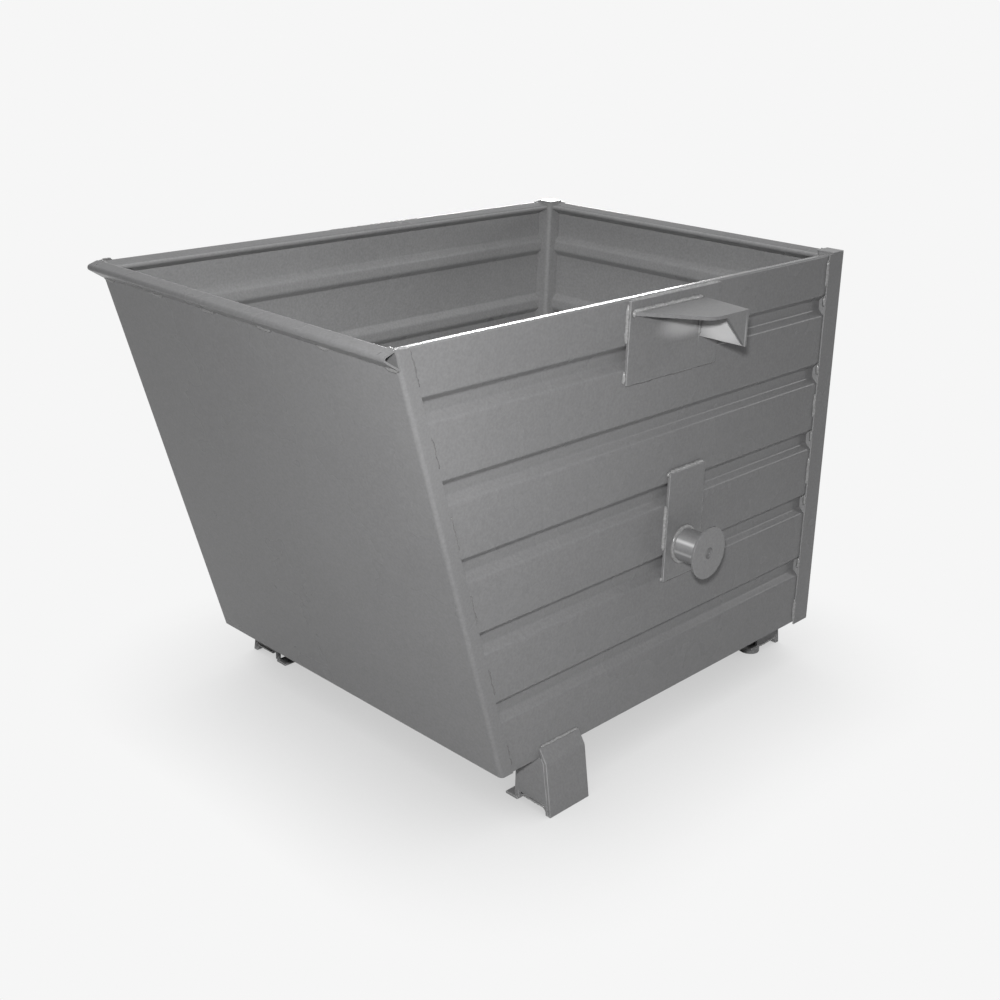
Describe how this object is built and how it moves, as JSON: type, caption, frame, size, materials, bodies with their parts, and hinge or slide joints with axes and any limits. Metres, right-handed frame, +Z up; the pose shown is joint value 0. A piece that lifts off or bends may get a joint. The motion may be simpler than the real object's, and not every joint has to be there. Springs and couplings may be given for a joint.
{
  "type": "tipping hopper",
  "caption": "Open-topped sheet-steel hopper with a sloping pouring front, beaded walls, folded rims, side trunnions, lock catches near the rim and stacking feet.",
  "frame": {"origin": "on the ground, at the centre of the bounding box's underside", "axes": "+Z up, X across along the trunnion axis, the sloping pouring plate faces -Y"},
  "size_m": [1.0026, 1.271, 0.908],
  "materials": {
    "painted_sheet": "semi-gloss grey paint on folded sheet steel",
    "painted_plate": "semi-gloss grey paint on cut steel plate",
    "painted_trunnion": "semi-gloss grey paint on turned steel and weld"
  },
  "bodies": {
    "root": {"front_plate": "painted_sheet", "side_panel_right": "painted_sheet", "side_panel_left": "painted_sheet", "rear_panel": "painted_sheet", "floor_plate": "painted_sheet", "corner_post_right": "painted_sheet", "corner_post_left": "painted_sheet", "post_liner_right": "painted_sheet", "post_liner_left": "painted_sheet", "post_cap_right": "painted_sheet", "post_cap_left": "painted_sheet", "bead_ends_side_right": "painted_sheet", "bead_ends_side_left": "painted_sheet", "bead_ends_rear_right": "painted_sheet", "bead_ends_rear_left": "painted_sheet", "catch_backing_right": "painted_plate", "catch_backing_left": "painted_plate", "catch_hood_right": "painted_plate", "catch_hood_left": "painted_plate", "catch_end_plate_right": "painted_plate", "catch_end_plate_left": "painted_plate", "trunnion_backing_right": "painted_plate", "trunnion_backing_left": "painted_plate", "front_foot_guide_right": "painted_plate", "front_foot_guide_left": "painted_plate", "front_foot_saddle_right": "painted_plate", "front_foot_saddle_left": "painted_plate", "front_foot_gussets_right": "painted_plate", "front_foot_gussets_left": "painted_plate", "front_foot_sole_right": "painted_plate", "front_foot_sole_left": "painted_plate", "rear_foot_guide_right": "painted_plate", "rear_foot_guide_left": "painted_plate", "rear_foot_saddle_right": "painted_plate", "rear_foot_saddle_left": "painted_plate", "rear_foot_gussets_right": "painted_plate", "rear_foot_gussets_left": "painted_plate", "rear_foot_soles_right": "painted_plate", "rear_foot_soles_left": "painted_plate", "trunnion_pin_right": "painted_trunnion", "trunnion_pin_left": "painted_trunnion", "trunnion_weld_right": "painted_trunnion", "trunnion_weld_left": "painted_trunnion", "trunnion_disc_right": "painted_trunnion", "trunnion_disc_left": "painted_trunnion"}
  },
  "joints": []
}
